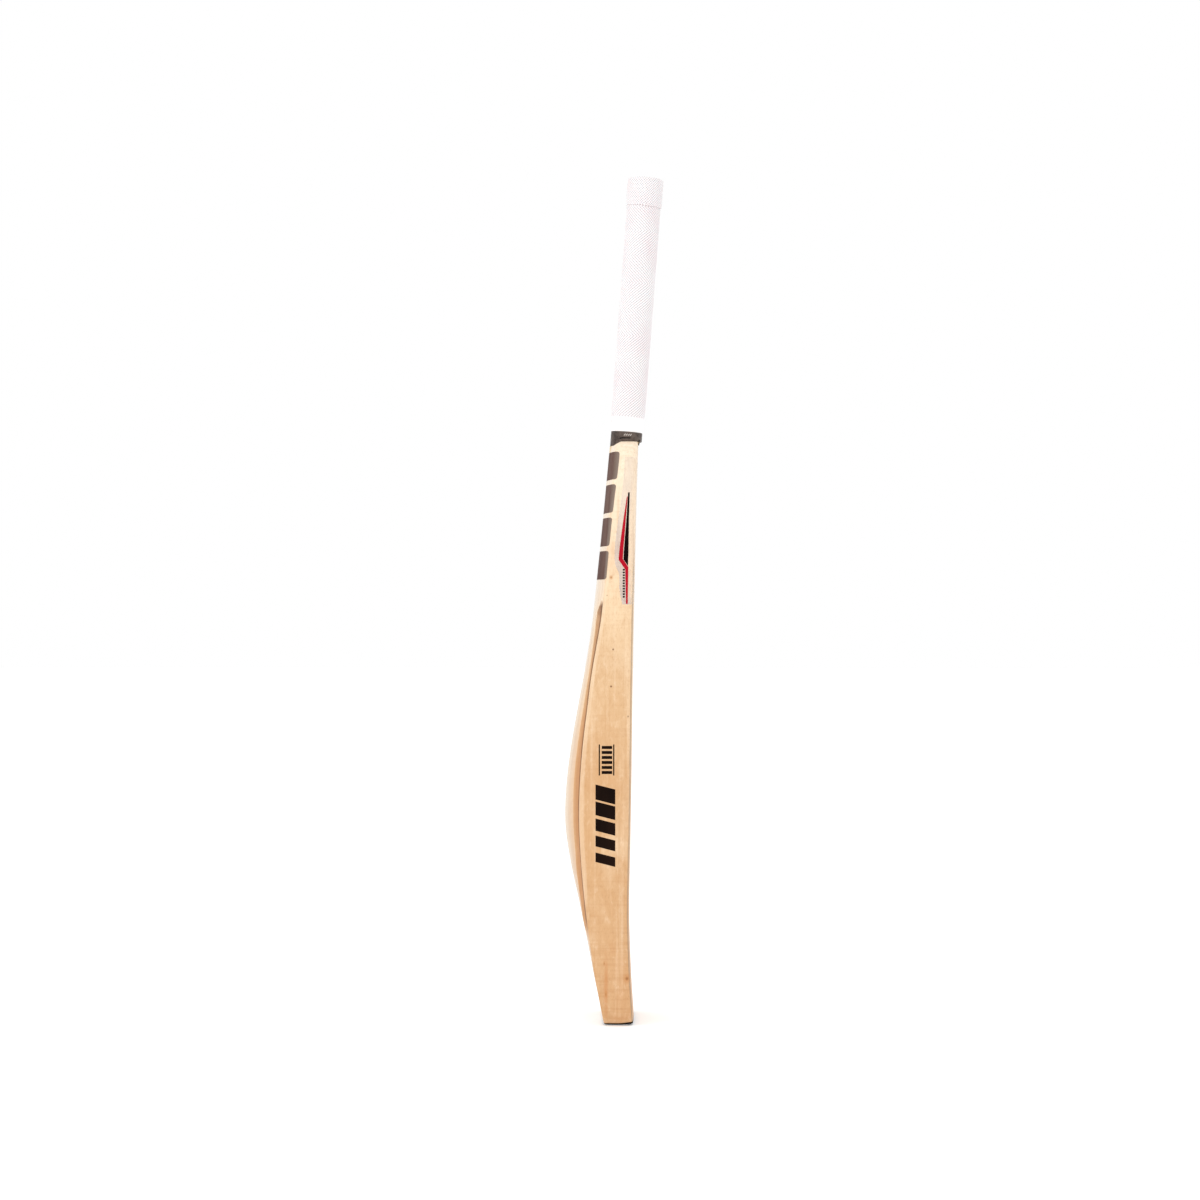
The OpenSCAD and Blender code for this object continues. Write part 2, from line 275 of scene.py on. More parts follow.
def side_x(z, y, t):
    """How far out the blade's side stands at height z and depth y."""
    half = [p for p in half_section(z, t) if p[0] > half_width(z) * 0.5]
    for (xa, ya, _), (xb, yb, _) in zip(half, half[1:]):
        if min(ya, yb) <= y <= max(ya, yb) and xa > 0 and abs(yb - ya) > 1e-6:
            return xa + (xb - xa) * (y - ya) / (yb - ya)
    return half_width(z) + t


# ---- mesh helpers
def to_scene(obj):
    bpy.context.scene.collection.objects.link(obj)


def new_object(name, verts_mm, faces):
    mesh = bpy.data.meshes.new(name)
    mesh.from_pydata([(x * MM, y * MM, z * MM) for x, y, z in verts_mm], [], faces)
    mesh.validate()
    mesh.update()
    obj = bpy.data.objects.new(name, mesh)
    to_scene(obj)
    return obj


def give_shares(obj, name, shares):
    layer = obj.data.attributes.new(name, "FLOAT", "POINT")
    layer.data.foreach_set("value", shares)


def outward(obj):
    bm = bmesh.new()
    bm.from_mesh(obj.data)
    bmesh.ops.recalc_face_normals(bm, faces=bm.faces)
    bm.to_mesh(obj.data)
    bm.free()


def smoothed(obj, sharp_deg=32):
    """Shades the faces smooth, apart from edges that turn by more than sharp_deg."""
    obj.data.shade_smooth()
    obj.data.set_sharp_from_angle(angle=math.radians(sharp_deg))


def loft_faces(rings, n, closed=True):
    """Faces between rings of n points, or between open rows of n points."""
    last = n if closed else n - 1
    return [(k * n + j, k * n + (j + 1) % n, (k + 1) * n + (j + 1) % n, (k + 1) * n + j)
            for k in range(rings - 1) for j in range(last)]


def tube_faces(rings, n):
    """Faces between rings of n points, whose last ring joins the first."""
    last = (rings - 1) * n
    closing = [(last + j, last + (j + 1) % n, (j + 1) % n, j) for j in range(n)]
    return loft_faces(rings, n) + closing


def merged(parts):
    """Several (vertices, faces) parts as one."""
    verts, faces = [], []
    for more_verts, more_faces in parts:
        faces += [tuple(len(verts) + i for i in face) for face in more_faces]
        verts += more_verts
    return verts, faces


def thin_solid(outer, inner):
    """Vertices and faces of a closed solid between two grids of points of the same size."""
    rows, cols = len(outer), len(outer[0])
    count = rows * cols
    verts = [p for row in outer for p in row] + [p for row in inner for p in row]
    faces = loft_faces(rows, cols, closed=False)
    faces += [tuple(count + i for i in reversed(f)) for f in loft_faces(rows, cols, closed=False)]
    rim = list(range(cols)) + [k * cols + cols - 1 for k in range(1, rows)]
    rim += [(rows - 1) * cols + j for j in range(cols - 2, -1, -1)]
    rim += [k * cols for k in range(rows - 2, 0, -1)]
    for a, b in zip(rim, rim[1:] + rim[:1]):
        faces.append((b, a, count + a, count + b))
    return verts, faces


def shell(name, solids):
    """One piece from thin solids, each given by its outer and its inner grid."""
    obj = new_object(name, *merged([thin_solid(*grids) for grids in solids]))
    outward(obj)
    smoothed(obj)
    return obj


def cut(obj, point_mm, normal):
    """Cuts a mesh with a plane, keeps the side the normal points to, and closes the cut."""
    bm = bmesh.new()
    bm.from_mesh(obj.data)
    geom = bm.verts[:] + bm.edges[:] + bm.faces[:]
    out = bmesh.ops.bisect_plane(bm, geom=geom, dist=1e-7, plane_co=Vector(point_mm) * MM,
                                 plane_no=Vector(normal), clear_inner=True, clear_outer=False)
    edges = [g for g in out["geom_cut"] if isinstance(g, bmesh.types.BMEdge)]
    bmesh.ops.contextual_create(bm, geom=edges)
    bmesh.ops.recalc_face_normals(bm, faces=bm.faces)
    bm.to_mesh(obj.data)
    bm.free()


def subtract(obj, tool):
    mod = obj.modifiers.new("slot", "BOOLEAN")
    mod.operation = "DIFFERENCE"
    mod.solver = "EXACT"
    mod.object = tool
    bpy.context.view_layer.update()
    evaluated = obj.evaluated_get(bpy.context.evaluated_depsgraph_get())
    mesh = bpy.data.meshes.new_from_object(evaluated)
    obj.modifiers.clear()
    old = obj.data
    obj.data = mesh
    bpy.data.meshes.remove(old)
    bpy.data.objects.remove(tool)


# ---- material helpers
def srgb(text):
    channels = [int(text[i:i + 2], 16) / 255 for i in (1, 3, 5)]
    return tuple(c / 12.92 if c <= 0.04045 else ((c + 0.055) / 1.055) ** 2.4 for c in channels) + (1.0,)


class Nodes:
    """A small builder for one material's node tree."""

    def __init__(self, name, roughness, specular):
        self.material = bpy.data.materials.new(name)
        self.material.use_nodes = True
        self.tree = self.material.node_tree
        self.shader = self.tree.nodes["Principled BSDF"]
        self.shader.inputs["Roughness"].default_value = roughness
        self.shader.inputs["Specular IOR Level"].default_value = specular
        self.coord = self.tree.nodes.new("ShaderNodeTexCoord").outputs["Object"]

    def link(self, a, b):
        self.tree.links.new(a, b)

    def set(self, socket, value):
        if isinstance(value, bpy.types.NodeSocket):
            self.link(value, socket)
        else:
            socket.default_value = value

    def scaled(self, x, y, z, offset=(0, 0, 0)):
        node = self.tree.nodes.new("ShaderNodeMapping")
        node.inputs["Scale"].default_value = (x, y, z)
        node.inputs["Location"].default_value = offset
        self.link(self.coord, node.inputs["Vector"])
        return node.outputs["Vector"]

    def noise(self, vector, detail=3.0, rough=0.5, distortion=0.0):
        node = self.tree.nodes.new("ShaderNodeTexNoise")
        node.inputs["Scale"].default_value = 1.0
        node.inputs["Detail"].default_value = detail
        node.inputs["Roughness"].default_value = rough
        node.inputs["Distortion"].default_value = distortion
        self.link(vector, node.inputs["Vector"])
        return node.outputs["Fac"]

    def math(self, op, a, b=0.5):
        node = self.tree.nodes.new("ShaderNodeMath")
        node.operation = op
        self.set(node.inputs[0], a)
        self.set(node.inputs[1], b)
        return node.outputs[0]

    def times(self, a, b):
        return self.math("MULTIPLY", a, b)

    def vector_math(self, op, vector, value=(0, 0, 0)):
        node = self.tree.nodes.new("ShaderNodeVectorMath")
        node.operation = op
        self.link(vector, node.inputs[0])
        node.inputs[1].default_value = value
        return node.outputs["Value" if op == "LENGTH" else "Vector"]

    def remap(self, value, a0, a1, b0=0.0, b1=1.0, kind="LINEAR"):
        node = self.tree.nodes.new("ShaderNodeMapRange")
        node.interpolation_type = kind
        for name, v in (("Value", value), ("From Min", a0), ("From Max", a1), ("To Min", b0), ("To Max", b1)):
            self.set(node.inputs[name], v)
        return node.outputs["Result"]

    def axis(self, name):
        node = self.tree.nodes.new("ShaderNodeSeparateXYZ")
        self.link(self.coord, node.inputs[0])
        return node.outputs[name]

    def ramp(self, value, stops):
        node = self.tree.nodes.new("ShaderNodeValToRGB")
        elements = node.color_ramp.elements
        while len(elements) < len(stops):
            elements.new(0.5)
        for element, (place, colour) in zip(elements, stops):
            element.position = place
            element.color = srgb(colour)
        self.link(value, node.inputs["Fac"])
        return node.outputs["Color"]

    def mix(self, factor, a, b):
        node = self.tree.nodes.new("ShaderNodeMix")
        node.data_type = "RGBA"
        node.clamp_factor = True
        self.set(node.inputs["Factor"], factor)
        for socket, value in ((node.inputs[6], a), (node.inputs[7], b)):
            self.set(socket, srgb(value) if isinstance(value, str) else value)
        return node.outputs[2]

    def tint(self, colour, other, value, a0, a1, strength):
        """Mixes in another colour as the value goes from a0 to a1."""
        return self.mix(self.remap(value, a0, a1, 0.0, strength), colour, other)

    def attribute(self, name):
        node = self.tree.nodes.new("ShaderNodeAttribute")
        node.attribute_name = name
        return node.outputs["Fac"]

    def bump(self, height, strength, distance=0.0003):
        node = self.tree.nodes.new("ShaderNodeBump")
        node.inputs["Strength"].default_value = strength
        node.inputs["Distance"].default_value = distance
        self.link(height, node.inputs["Height"])
        return node.outputs["Normal"]

    def finish(self, colour, roughness=None, normal=None):
        self.link(colour, self.shader.inputs["Base Color"])
        if roughness is not None:
            self.set(self.shader.inputs["Roughness"], roughness)
        if normal is not None:
            self.link(normal, self.shader.inputs["Normal"])
        return self.material


def distance_to(n, spots):
    """Smallest of a few ellipsoid distances; each spot is (x, y, z, across, along) in mm."""
    best = None
    for x, y, z, across, along in spots:
        from_spot = n.vector_math("SUBTRACT", n.coord, (x * MM, y * MM, z * MM))
        per_size = (1 / (across * MM), 1 / (across * MM), 1 / (along * MM))
        distance = n.vector_math("LENGTH", n.vector_math("MULTIPLY", from_spot, per_size))
        best = distance if best is None else n.math("MINIMUM", best, distance)
    return best


# Small knots and pores of the near edge, then of the face and back, as (x, y, z, across, along).
SPECKS = [(-54, 4.4, 377, 0.9, 1.1), (-54, 6.4, 340, 1.1, 1.1), (-54, -10.6, 310, 0.9, 1.2),
          (-54, 10.5, 431, 0.7, 0.9), (54, 3.0, 262, 0.9, 1.1), (54, 15.0, 120, 0.9, 1.4),
          (21, -14, 300, 0.9, 1.5), (-33, -13, 120, 1.0, 1.3)]
KNOTS = [(-54, -9.5, 48, 2.4, 2.6), (-54, 6.4, 449, 1.0, 1.2), (-54, 11.6, 32, 0.6, 2.2),
         (-54, 13.4, 63, 0.5, 1.4), (38, -16, 418, 2.0, 2.6)]
# A brown streak up the near edge, by the toe.
STREAK = (-54, 11.5, 38, 2.1, 34)


# The wood's colour up the blade, from the toe, 0, to the shoulders, 1: partly the wood's own tone, partly
# painted light that grows towards the shoulders.
WOOD_AND_LIGHT_BY_HEIGHT = [(0.0, "#d3aa7f"), (0.22, "#d3a97c"), (0.40, "#dcb487"), (0.55, "#e6c499"),
                  (0.70, "#edd2ad"), (0.84, "#f1dcc0"), (1.0, "#f4e4cd")]


def willow():
    n = Nodes("willow", roughness=0.5, specular=0.25)
    z = n.axis("Z")
    broad = n.noise(n.scaled(9, 9, 2.2), detail=2)
    height = n.math("ADD", z, n.times(n.math("SUBTRACT", broad, 0.5), 0.1))
    colour = n.ramp(n.remap(height, 0.0, 0.6), WOOD_AND_LIGHT_BY_HEIGHT)
    colour = willow_grain(n, colour)
    colour = willow_marks(n, colour, z)
    streak = n.noise(n.scaled(320, 320, 7), detail=4, rough=0.62)
    fine = n.noise(n.scaled(1500, 1500, 45), rough=0.7)
    grain = n.math("ADD", n.times(streak, 0.6), n.times(fine, 0.4))
    n.shader.inputs["Coat Weight"].default_value = 0.05
    n.shader.inputs["Coat Roughness"].default_value = 0.3
    normal = n.bump(grain, strength=0.16, distance=0.0002)
    return n.finish(colour, n.remap(streak, 0.3, 0.8, 0.42, 0.6), normal)


def willow_grain(n, colour):
    """Growth rings up the face and back, streaks along the grain, and mottling at three scales."""
    waver = n.times(n.math("SUBTRACT", n.noise(n.scaled(6, 6, 3), detail=2), 0.5), 0.012)
    ring = n.math("FRACT", n.times(n.math("ADD", n.axis("X"), waver), 118.0))
    line = n.times(n.remap(ring, 0.0, 0.72), n.remap(ring, 0.86, 1.0, 1.0, 0.0))
    strength = n.remap(n.axis("Z"), 0.46, 0.53, 0.34, 0.08)
    colour = n.mix(n.times(n.math("POWER", line, 2.5), strength), colour, "#b07a48")
    cloud = n.noise(n.scaled(26, 26, 11, (5, 2, 7)), rough=0.55, distortion=0.4)
    colour = n.tint(colour, "#c98c56", cloud, 0.52, 0.8, 0.42)
    colour = n.tint(colour, "#f6e0c0", cloud, 0.44, 0.24, 0.3)
    mottle = n.noise(n.scaled(210, 210, 110, (1, 4, 2)), detail=5, rough=0.68, distortion=0.4)
    colour = n.tint(colour, "#bd8b5a", mottle, 0.5, 0.78, 0.36)
    colour = n.tint(colour, "#fae6ca", mottle, 0.46, 0.24, 0.26)
    ripple = n.noise(n.scaled(26, 26, 360, (2, 2, 9)), detail=2, distortion=0.3)
    ripple_strength = n.remap(n.axis("Z"), 0.08, 0.16, 0.26, 0.1)
    colour = n.mix(n.times(n.remap(ripple, 0.5, 0.7), ripple_strength), colour, "#b57f4c")
    streak = n.noise(n.scaled(320, 320, 7), detail=4, rough=0.62)
    colour = n.tint(colour, "#b98552", streak, 0.52, 0.78, 0.3)
    pale = n.noise(n.scaled(190, 190, 5, (3, 1, 2)))
    colour = n.tint(colour, "#fbe7ca", pale, 0.55, 0.8, 0.3)
    fine = n.noise(n.scaled(1300, 1300, 260), rough=0.75)
    return n.tint(colour, "#a8784a", fine, 0.54, 0.78, 0.5)


def willow_marks(n, colour, z):
    """Painted light and shade by place, on the ridge, the corners and the scoops; then knots and specks."""
    ragged = n.noise(n.scaled(210, 210, 60, (8, 3, 1)), rough=0.6)
    swing = n.times(n.math("SUBTRACT", ragged, 0.5), 0.9)
    # Painted light: the ridge is turned pale where the light from behind falls on it.
    colour = n.mix(n.times(n.attribute("pale"), 0.78), colour, "#ddd5ca")
    # Painted highlight along the back corner, with a ragged edge.
    worn = n.remap(n.math("ADD", n.attribute("worn"), swing), 0.25, 0.75, 0.0, 0.3, "SMOOTHSTEP")
    colour = n.mix(worn, colour, "#eed6b9")
    # Painted shade along the face corner.
    soiled = n.remap(n.math("ADD", n.attribute("soiled"), swing), 0.3, 0.9, 0.0, 0.64, "SMOOTHSTEP")
    colour = n.mix(soiled, colour, "#9c8670")
    # Painted shade in the scoops, darker still towards their top end.
    scooped = n.attribute("scooped")
    colour = n.mix(n.times(scooped, 0.8), colour, "#b98458")
    shade = n.math("MAXIMUM", n.remap(z, 0.3, 0.39, 0.0, 0.2), n.remap(z, 0.402, 0.424, 0.0, 0.86))
    colour = n.mix(n.times(scooped, shade), colour, "#5f3b22")
    # Painted shade: the dark line low in the scoop.
    seam = n.remap(n.math("ADD", n.attribute("seam"), swing), 0.25, 0.85, 0.0, 0.72)
    colour = n.mix(seam, colour, "#6e4a2a")
    lane = distance_to(n, [STREAK])
    colour = n.mix(n.remap(n.math("ADD", lane, swing), 0.4, 1.3, 0.45, 0.0), colour, "#bf7a3e")
    knot = distance_to(n, KNOTS)
    colour = n.mix(n.remap(knot, 0.7, 2.4, 0.6, 0.0), colour, "#bd8048")
    colour = n.mix(n.remap(knot, 0.3, 0.9, 0.7, 0.0), colour, "#8a5227")
    return n.mix(n.remap(distance_to(n, SPECKS), 0.5, 1.2, 0.85, 0.0), colour, "#6b4020")


def cane():
    n = Nodes("cane", roughness=0.6, specular=0.3)
    fibre = n.noise(n.scaled(700, 700, 14), detail=4, rough=0.65)
    pores = n.noise(n.scaled(1700, 1700, 60, (2, 5, 1)), detail=2)
    colour = n.ramp(fibre, [(0.3, "#b8976a"), (0.52, "#dcc297"), (0.75, "#eedcba")])
    colour = n.tint(colour, "#8a6a42", pores, 0.6, 0.74, 0.5)
    normal = n.bump(fibre, strength=0.35, distance=0.0003)
    return n.finish(colour, n.remap(fibre, 0.3, 0.8, 0.5, 0.75), normal)


def rubber(name, dark, light, specular=0.12):
    n = Nodes(name, roughness=0.65, specular=specular)
    cloud = n.noise(n.scaled(60, 60, 60))
    grit = n.noise(n.scaled(2600, 2600, 2600), detail=2)
    colour = n.mix(cloud, dark, light)
    normal = n.bump(grit, strength=0.2, distance=0.0001)
    return n.finish(colour, n.remap(cloud, 0.3, 0.7, 0.57, 0.73), normal)


def grip_rubber():
    n = Nodes("grip_rubber", roughness=0.55, specular=0.22)
    dust = n.noise(n.scaled(45, 45, 28), detail=4, rough=0.6)
    # Painted shade: the grip darkens in its grooves and pits, by their depth.
    low = n.attribute("groove")
    colour = n.mix(n.remap(dust, 0.42, 0.75, 0.0, 0.6), "#f3f1f1", "#eedde0")
    colour = n.mix(n.times(low, 0.95), colour, "#a2969a")
    grit = n.noise(n.scaled(3200, 3200, 3200), detail=2)
    normal = n.bump(grit, strength=0.12, distance=0.0001)
    n.shader.inputs["Subsurface Weight"].default_value = 0.08
    n.shader.inputs["Subsurface Radius"].default_value = (0.002, 0.0014, 0.0012)
    return n.finish(colour, n.remap(dust, 0.3, 0.8, 0.42, 0.6), normal)


def twine():
    n = Nodes("twine", roughness=0.5, specular=0.25)
    fibre = n.noise(n.scaled(2200, 2200, 900))
    worn = n.noise(n.scaled(160, 160, 160))
    colour = n.mix(n.remap(worn, 0.35, 0.7), "#3d322d", "#665951")
    colour = n.tint(colour, "#81746b", fibre, 0.5, 0.75, 0.6)
    # Painted shade: each turn goes near black on its inner side, where it meets the core and its neighbours.
    colour = n.mix(n.attribute("outer"), "#0b0706", colour)
    return n.finish(colour, n.remap(fibre, 0.3, 0.8, 0.35, 0.6), n.bump(fibre, 0.4, 0.0002))


def thread():
    n = Nodes("thread", roughness=0.55, specular=0.25)
    fibre = n.noise(n.scaled(2400, 2400, 1200))
    # Painted highlight: the threads are pale to stand for glints where they cross the dark twine.
    colour = n.mix(n.remap(fibre, 0.35, 0.7), "#bdb4ac", "#e4ded8")
    return n.finish(colour, n.remap(fibre, 0.3, 0.8, 0.45, 0.65), n.bump(fibre, 0.4, 0.0002))


def print_film(name, colour_a, colour_b, roughness, sheen_colour=None):
    """Ink on a thin film, cloudy and scuffed, with an optional lighter colour towards its side ends as
    painted reflection.
    """
    n = Nodes(name, roughness=roughness, specular=0.03)
    cloud = n.noise(n.scaled(70, 70, 16))
    scuff = n.noise(n.scaled(900, 900, 60), rough=0.7)
    colour = n.mix(n.remap(cloud, 0.3, 0.7), colour_a, colour_b)
    if sheen_colour:
        # Painted reflection: lighter towards the side ends, scuffed.
        worn = n.times(n.attribute("end_share"), n.remap(scuff, 0.3, 0.7, 0.7, 1.0))
        colour = n.mix(worn, colour, sheen_colour)
    return n.finish(colour, n.remap(scuff, 0.4, 0.8, roughness - 0.08, roughness + 0.14),
                    n.bump(cloud, 0.08, 0.0003))


def clear_film():
    """Clear, with a faint blue haze by its side edges that fades out up the shoulders."""
    n = Nodes("clear_film", roughness=0.3, specular=0.06)
    cloud = n.noise(n.scaled(90, 90, 20))
    n.shader.inputs["Alpha"].default_value = 0.28
    n.material.surface_render_method = "BLENDED"
    colour = n.mix(n.remap(cloud, 0.3, 0.7), "#aab8d4", "#c6cfe2")
    by_height = n.remap(n.axis("Z"), 0.44, 0.57, 1.0, 0.2)
    haze = n.times(n.remap(n.attribute("haze"), 0.0, 0.45), by_height)
    colour = n.mix(haze, "#f4e8d8", colour)
    return n.finish(colour, n.remap(cloud, 0.3, 0.7, 0.22, 0.4), n.bump(cloud, 0.05, 0.0002))


MATERIALS = {
    "willow": willow(),
    "cane": cane(),
    "spring_rubber": rubber("spring_rubber", "#1c1917", "#2a2623"),
    "guard_rubber": rubber("guard_rubber", "#120b08", "#20130c", specular=0.0),
    "grip_rubber": grip_rubber(),
    "twine": twine(),
    "thread": thread(),
    # The block print lightens towards its side ends as painted reflection.
    "block_print": print_film("block_print", "#51362e", "#634a41", 0.55, sheen_colour="#8b7e73"),
    "black_print": print_film("black_print", "#0b0303", "#150505", 0.45),
    "red_print": print_film("red_print", "#a50f20", "#b6192c", 0.4),
    "clear_film": clear_film(),
    "edge_ink": print_film("edge_ink", "#120906", "#1d100a", 0.5),
}


def dress(piece, slot, *nodes, finish=None):
    """Gives a new piece its material and body, and hides the CAD nodes it stands for.

    The material is the slot's own, unless finish names another one.
    """
    piece.data.materials.clear()
    piece.data.materials.append(MATERIALS[finish or slot])
    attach(piece, BODY)
    if nodes:
        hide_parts(*nodes)
    return piece


# ---- blade and toe guard
# In front of the depth LIFT_Y the toe slopes up by TOE_LIFT mm for each mm.
TOE_LIFT = 9 / 57
LIFT_Y = -3.0
# The binding's tongue steps down by TONGUE_DROP between the depths -TONGUE_Y and TONGUE_Y.
TONGUE_Y, TONGUE_DROP = 4.0, 4.5


def shoulder_line(y):
    """Height where the binding meets the shoulders, at depth y: it steps down at the back."""
    return SHOULDER_Z - TONGUE_DROP * clamp((y + TONGUE_Y) / (2 * TONGUE_Y))


def prism(name, end_a, end_b):
    """A solid between two matching outlines of points."""
    n = len(end_a)
    faces = [tuple(range(n)), tuple(reversed(range(n, 2 * n)))]
    faces += [(i, (i + 1) % n, (i + 1) % n + n, i + n) for i in range(n)]
    solid = new_object(name, end_a + end_b, faces)
    outward(solid)
    return solid


# How far the cutters reach from the middle, well outside the wood, and how high.
LOTS, CUT_TOP = 90.0, 640.0


def cutter_above_tongue():
    """Everything above the step and the lower line behind it; the blade's own top closes the front."""
    over = 1.0
    start = -TONGUE_Y - over * 2 * TONGUE_Y / TONGUE_DROP
    low = SHOULDER_Z - TONGUE_DROP
    profile = [(start, SHOULDER_Z + over), (TONGUE_Y, low), (LOTS, low), (LOTS, CUT_TOP), (start, CUT_TOP)]
    return prism("cutter", *[[(x, y, z) for y, z in profile] for x in (-LOTS, LOTS)])


def blade_heights():
    toe = [-1.0 + 0.5 * i for i in range(12)] + [5.5 + 1.2 * i for i in range(10)]
    body = [18.0 + 3.0 * i for i in range(167)]
    steps = 26
    top = [SHOULDER_START + 4 + (SHOULDER_Z - SHOULDER_START - 4) * (1 - (1 - i / steps) ** 1.8)
           for i in range(steps + 1)]
    return toe + [z for z in body if z < SHOULDER_START + 2] + top


# The fine mesh stands this far inside the CAD's facets.
BLADE_INSET = 0.02


def build_blade():
    heights = blade_heights()
    rings = [section(z, -BLADE_INSET) for z in heights]
    n = len(rings[0])
    verts = [(x, y, z) for z, ring in zip(heights, rings) for x, y, _ in ring]
    faces = loft_faces(len(heights), n)
    faces.append(tuple(reversed(range(n))))
    faces.append(tuple((len(heights) - 1) * n + j for j in range(n)))
    blade = new_object("blade", verts, faces)
    for k, name in enumerate(MARKS):
        give_shares(blade, name, [marks[k] for ring in rings for _, _, marks in ring])
    cut(blade, (0, 0, GUARD_T), (0, 0, 1))
    cut(blade, (0, LIFT_Y, GUARD_T), (0, TOE_LIFT, 1))
    subtract(blade, cutter_above_tongue())
    subtract(blade, splice_wedge())
    outward(blade)
    smoothed(blade)
    return dress(blade, "willow", "willow_blade")


SPLICE_TIP_Z, SPLICE_TIP_HALF_W, SPLICE_TOP_Z = 440.0, 1.5, 620.0


def splice_wedge():
    outline = [(-SPLICE_TIP_HALF_W, SPLICE_TIP_Z), (SPLICE_TIP_HALF_W, SPLICE_TIP_Z),
               (NECK_HALF_W, SPLICE_TOP_Z), (-NECK_HALF_W, SPLICE_TOP_Z)]
    return prism("wedge", *[[(x, y, z) for x, z in outline] for y in (-LOTS, LOTS)])


def toe_lift(y):
    return max(0.0, (LIFT_Y - y) * TOE_LIFT)


# The guard's lower rim is rounded by GUARD_RIM, and drawn in by a share of it.
GUARD_RIM, RIM_DRAWN_IN = 0.4, 0.6


def flat_faces(base, n):
    """Faces that fill a ring of n points, between its two mirrored halves."""
    half = n // 2
    faces = [(base, base + 1, base + n - 1)]
    for i in range(1, half - 1):
        faces.append((base + i, base + i + 1, base + n - i - 1, base + n - i))
    return faces + [(base + half - 1, base + half, base + half + 1)]


def build_toe_guard():
    """A rubber strip with a rounded lower rim, folded along the toe's small lift."""
    levels = [(GUARD_T - GUARD_T / 5 * i, 0.0) for i in range(4)] + [(GUARD_RIM, 0.0)]
    turns = [math.radians(degrees) for degrees in (22, 45, 68, 90)]
    levels += [(GUARD_RIM * (1 - math.sin(a)), GUARD_RIM * (1 - math.cos(a))) for a in turns]
    verts = []
    for z, pull in levels:
        grown = -BLADE_INSET - pull * RIM_DRAWN_IN
        for i, (_, y, _) in enumerate(section(z, grown)):
            height = z + toe_lift(y)
            x, y, _ = section(height, grown)[i]
            verts.append((x, y, height))
    n = len(verts) // len(levels)
    faces = loft_faces(len(levels), n) + flat_faces(0, n) + flat_faces((len(levels) - 1) * n, n)
    guard = new_object("toe_strip", verts, faces)
    outward(guard)
    smoothed(guard)
    return dress(guard, "guard_rubber", "toe_guard")


# ---- printed trim
# Print stands PRINT_T proud of the wood, the flashes FLASH_T and the film FILM_T, and all go SINK deep.
PRINT_T, FLASH_T, FILM_T = 0.14, 0.18, 0.07
SINK = 0.25
BANDS = 4
BAND_LOW, BAND_H, BAND_PITCH, BAND_CORNER = 447.0, 28.5, 33.4, 2.4
BAND_FRONT = [(440, 12), (492, 7.1), (527, 3.2), (566, -1.5), (580, -2.2)]
FILM_EDGE = [(422, -4.8), (436, -2), (452, -1.5), (461, 2), (470, 3), (484, 2.2), (502, 0), (522, -3),
             (547, -6), (570, -7.5)]


def lengths_along(line):
    """How far along a line of points each of them lies."""
    lengths = [0.0]
    for a, b in zip(line, line[1:]):
        lengths.append(lengths[-1] + math.dist(a, b))
    return lengths


def evenly_spaced(line, count):
    """Points at count equal steps along a line of points."""
    lengths = lengths_along(line)
    points, j = [], 0
    for i in range(count + 1):
        want = lengths[-1] * i / count
        while j < len(line) - 2 and lengths[j + 1] < want:
            j += 1
        span = max(lengths[j + 1] - lengths[j], 1e-9)
        points.append(between(line[j], line[j + 1], clamp((want - lengths[j]) / span)))
    return points


def arc_of_section(z, t, y_side, back, count):
    """Points round the back, or the face, of the section, from one side at depth y_side to the other."""
    run = [(x, y) for x, y, _ in half_section(z, t)]
    split = next(i for i in range(len(run) - 1)
                 if run[i][0] > half_width(z) * 0.5 and run[i][1] <= y_side <= run[i + 1][1])
    (xa, ya), (xb, yb) = run[split], run[split + 1]
    u = (y_side - ya) / max(yb - ya, 1e-9)
    start = (xa + (xb - xa) * u, y_side)
    part = [start] + run[split + 1:] if back else [start] + run[:split + 1][::-1]
    return evenly_spaced(part + [(-x, y) for x, y in reversed(part[:-1])], count)


# How far the painted reflection on the bands, and the haze of the film, reach in from their side ends.
SHEEN_W, HAZE_W = 9.0, 12.0


def fade_along(row, width):
    """Shares that fall from 1 at both ends of a row of points to 0 at this width from them."""
    lengths = lengths_along(row)
    return [clamp(1 - min(length, lengths[-1] - length) / width) for length in lengths]


def wrapped(name, heights, side_y, lift, back, count, end_share, fade_w):
    """A thin skin round the blade's back, or its face, with a share that fades in from its side ends."""
    grids = [[[(x, y, z) for x, y in arc_of_section(z, t, side_y(z), back, count)] for z in heights]
             for t in (lift, -SINK)]
    skin = shell(name, [grids])
    give_shares(skin, end_share, [share for grid in grids for row in grid for share in fade_along(row, fade_w)])
    return skin


def corner_inset(z, z0, z1):
    """How far a rounded corner pulls a band's front edge back near the band's ends."""
    near_end = min(z - z0, z1 - z)
    if near_end >= BAND_CORNER:
        return 0.0
    return BAND_CORNER - math.sqrt(max(0.0, BAND_CORNER ** 2 - (BAND_CORNER - near_end) ** 2))


def build_back_blocks():
    """Four printed bands round the back, the first at the top."""
    ends = [0.0, 0.1, 0.3, 0.6, 1.0, 1.6, 2.4]
    for i in range(BANDS):
        z0 = BAND_LOW + (BANDS - 1 - i) * BAND_PITCH
        z1 = z0 + BAND_H
        span = BAND_H - 2 * BAND_CORNER
        heights = [z0 + e for e in ends] + [z0 + BAND_CORNER + span * k / 10 for k in range(1, 10)]
        heights += [z1 - e for e in reversed(ends)]

        def side_y(z, z0=z0, z1=z1):
            return smooth_at(BAND_FRONT, z) + corner_inset(z, z0, z1)
        band = wrapped(f"band_{i + 1}", heights, side_y, PRINT_T, True, 72, "end_share", SHEEN_W)
        dress(band, "block_print", f"back_block_{i + 1}")


